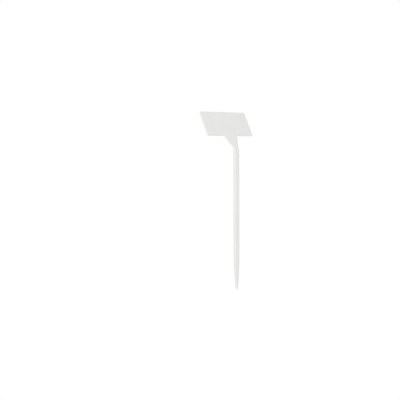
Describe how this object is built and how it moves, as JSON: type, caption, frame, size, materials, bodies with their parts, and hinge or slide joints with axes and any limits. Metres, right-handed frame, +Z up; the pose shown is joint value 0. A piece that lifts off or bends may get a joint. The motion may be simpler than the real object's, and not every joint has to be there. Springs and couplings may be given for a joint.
{
  "type": "plant label stake",
  "caption": "White plastic plant label stake: a tilted rectangular writing panel on a flared neck, a channel-shaped stem that nests when stacked, and a tapered spike to push into soil.",
  "frame": {"origin": "middle of the spike's tip, level with the middle of the stem's channel", "axes": "+Z up along the stem, X across the label, the writing side faces -Y and the head leans back towards +Y"},
  "size_m": [0.076, 0.0438, 0.2586],
  "materials": {
    "panel": "white polypropylene, fine matte grain for writing",
    "stem": "white polypropylene, satin from the mould"
  },
  "bodies": {
    "root": {"label_panel": "panel", "panel_rim": "panel", "neck_web": "stem", "neck_rib_left": "stem", "neck_rib_right": "stem", "stem_web": "stem", "stem_flange_left": "stem", "stem_flange_right": "stem", "spike_web": "stem", "spike_flange_left": "stem", "spike_flange_right": "stem", "spike_point": "stem"}
  },
  "joints": []
}
